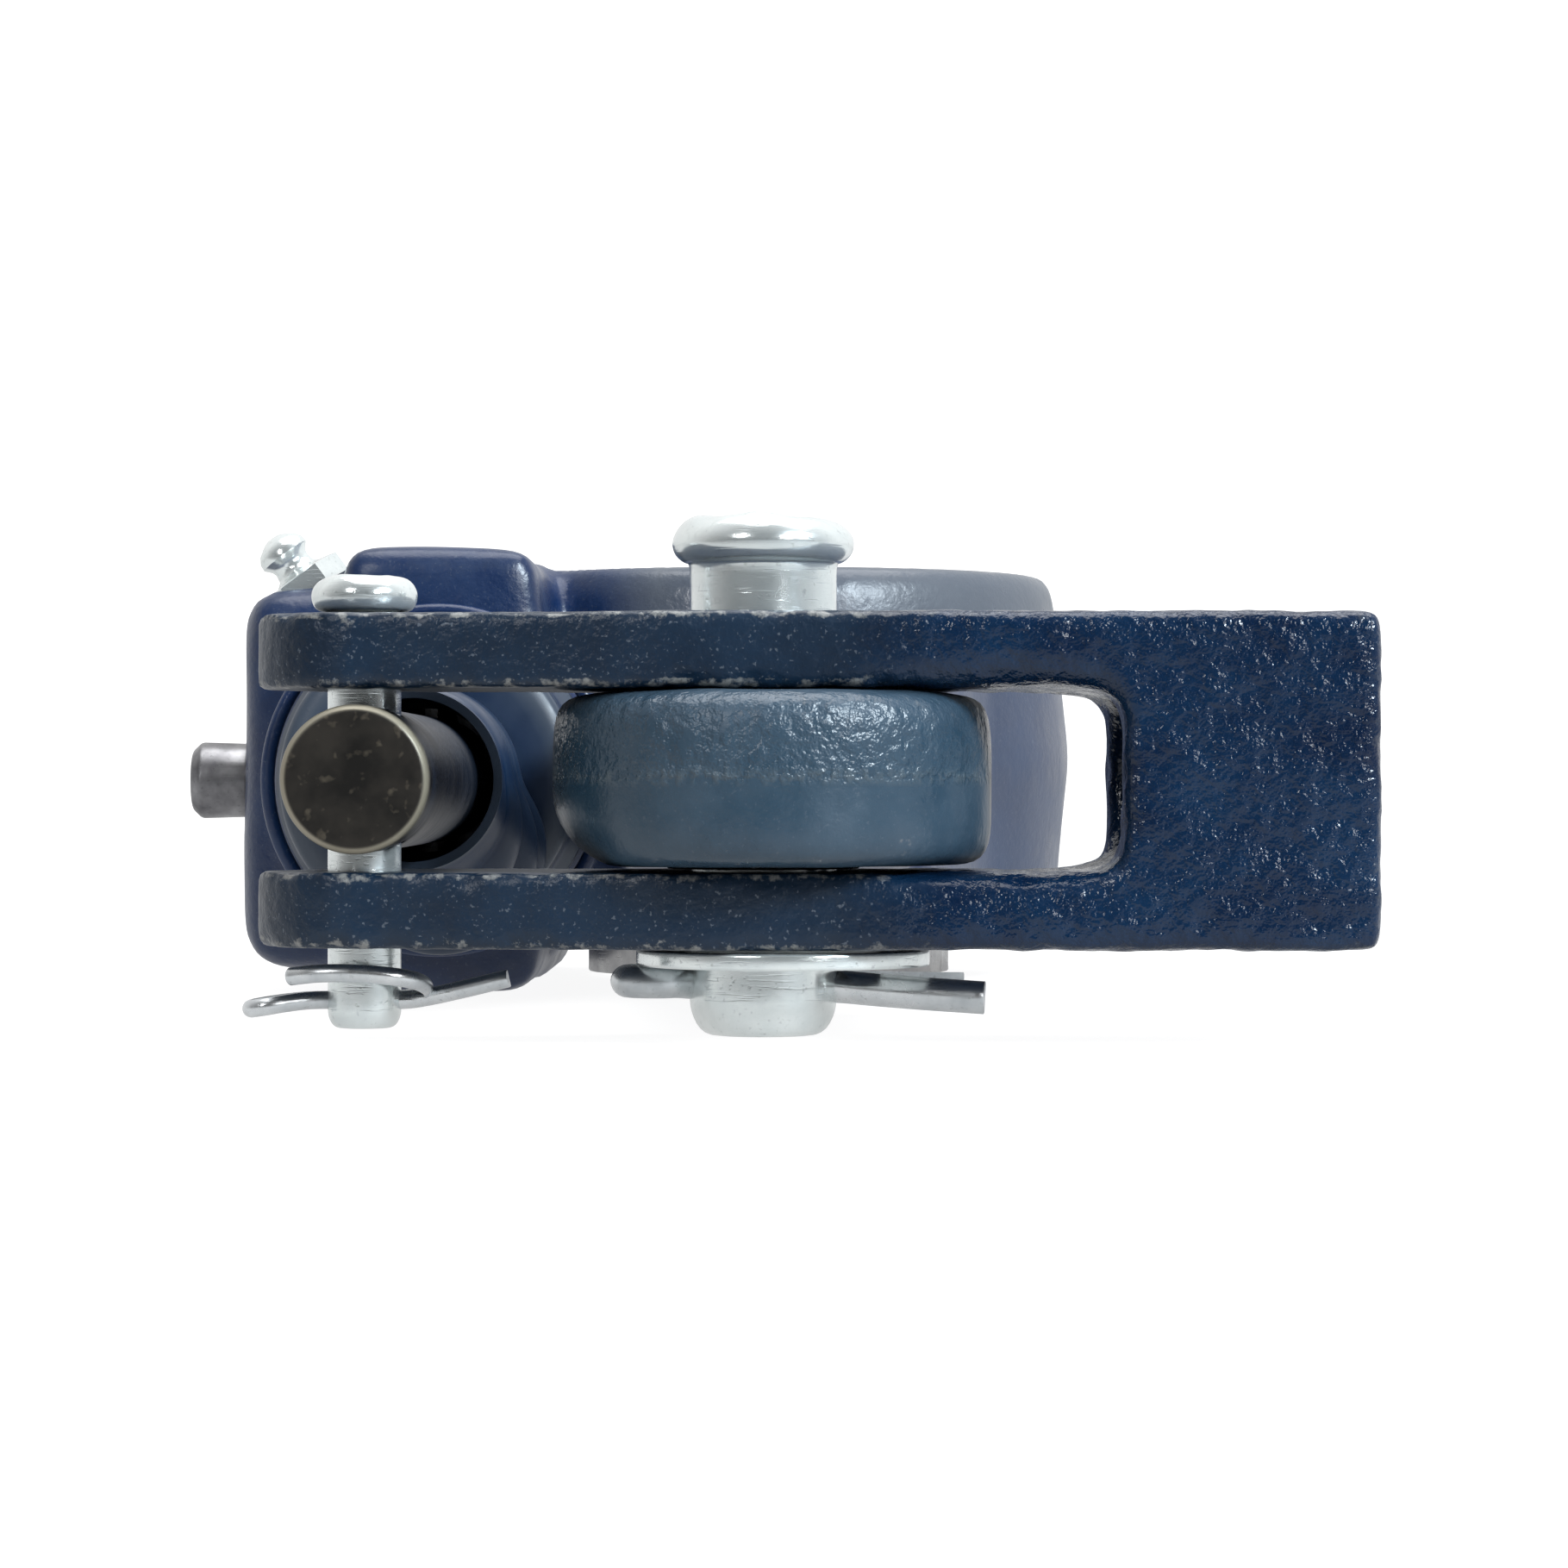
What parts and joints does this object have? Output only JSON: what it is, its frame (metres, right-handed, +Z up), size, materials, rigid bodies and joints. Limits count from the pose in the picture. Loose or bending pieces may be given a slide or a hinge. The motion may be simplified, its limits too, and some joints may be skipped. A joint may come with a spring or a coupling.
{
  "type": "automatic slack adjuster",
  "caption": "Automatic slack adjuster for a cam-operated drum brake: forged lever with worm gear, splined camshaft bore, actuator rod, pull pawl and pinned push-rod clevis.",
  "frame": {"origin": "middle of the footprint, on the table that the adjuster lies on", "axes": "+Z up, along the camshaft and both clevis pins; +Y from the clevis to the camshaft, along the arm; +X towards the clevis's push-rod end"},
  "size_m": [0.1146, 0.2018, 0.0505],
  "materials": {
    "navy_paint": "glossy dark navy paint over a rough forging, with a fine orange-peel grain",
    "zinc_plate": "bright zinc plate",
    "machined_steel": "machined steel, lightly oiled",
    "spring_steel": "oiled spring steel",
    "dark_steel": "dull dark grey steel",
    "black_oxide": "black oxide with a worn bright rim",
    "black_rubber": "black nitrile rubber",
    "boot_rubber": "satin black moulded rubber"
  },
  "bodies": {
    "housing": {"housing": "navy_paint", "arm_bushing": "machined_steel", "gear_thrust_washer_lower": "machined_steel", "gear_thrust_washer_upper": "machined_steel", "gear_cover": "zinc_plate", "gear_seal_lower": "black_rubber", "gear_seal_upper": "black_rubber", "gear_snap_ring": "spring_steel", "worm_thrust_washer": "machined_steel", "worm_seal": "black_rubber", "worm_snap_ring": "spring_steel", "boot": "boot_rubber", "boot_clamp": "zinc_plate", "pawl_cap": "dark_steel", "pawl_spring": "spring_steel", "grease_fitting": "zinc_plate"},
    "clevis": {"clevis": "navy_paint", "large_clevis_pin": "zinc_plate", "large_pin_washer": "zinc_plate", "large_pin_cotter": "zinc_plate", "small_clevis_pin": "zinc_plate", "small_pin_cotter": "zinc_plate"},
    "rod": {"actuator_rod": "black_oxide"},
    "piston": {"piston": "machined_steel", "piston_cross_pin": "machined_steel", "piston_retaining_ring": "spring_steel"},
    "sleeve": {"adjusting_sleeve": "machined_steel"},
    "worm": {"worm": "machined_steel"},
    "gear": {"worm_gear": "machined_steel"},
    "pawl": {"pawl": "dark_steel"}
  },
  "joints": [
    {"name": "clevis_pivot", "type": "hinge", "parent": "housing", "child": "clevis", "pos_m": [0.00535, -0.08182, 0.0224], "axis": [0, 0, 1], "range_deg": [-12, 12]},
    {"name": "rod_pivot", "type": "hinge", "parent": "clevis", "child": "rod", "pos_m": [-0.02915, -0.08182, 0.0224], "axis": [0, 0, 1], "range_deg": [-12.5, 12.5]},
    {"name": "piston_slide", "type": "slide", "parent": "housing", "child": "piston", "axis": [0, -1, 0], "range_m": [-0.0073, 0.0073]},
    {"name": "sleeve_slide", "type": "slide", "parent": "worm", "child": "sleeve", "axis": [0, -1, 0], "range_m": [-0.0073, 0.0073]},
    {"name": "gear_spin", "type": "hinge", "parent": "housing", "child": "gear", "pos_m": [0.00535, 0.05788, 0.0224], "axis": [0, 0, 1], "continuous": true},
    {"name": "worm_spin", "type": "hinge", "parent": "housing", "child": "worm", "pos_m": [-0.02915, 0.05788, 0.0224], "axis": [0, 1, 0], "continuous": true},
    {"name": "pawl_pull", "type": "slide", "parent": "housing", "child": "pawl", "axis": [-1, 0, 0], "range_m": [0, 0.0016], "stiffness_N_per_m": 2000, "deforming": ["pawl_spring"]}
  ],
  "couplings": [
    {"joint": "rod_pivot", "follows": "clevis_pivot", "ratio": -1},
    {"joint": "piston_slide", "follows": "clevis_pivot", "m_per_rad": 0.0345},
    {"joint": "sleeve_slide", "follows": "clevis_pivot", "m_per_rad": 0.0345},
    {"joint": "worm_spin", "follows": "gear_spin", "ratio": 20}
  ]
}
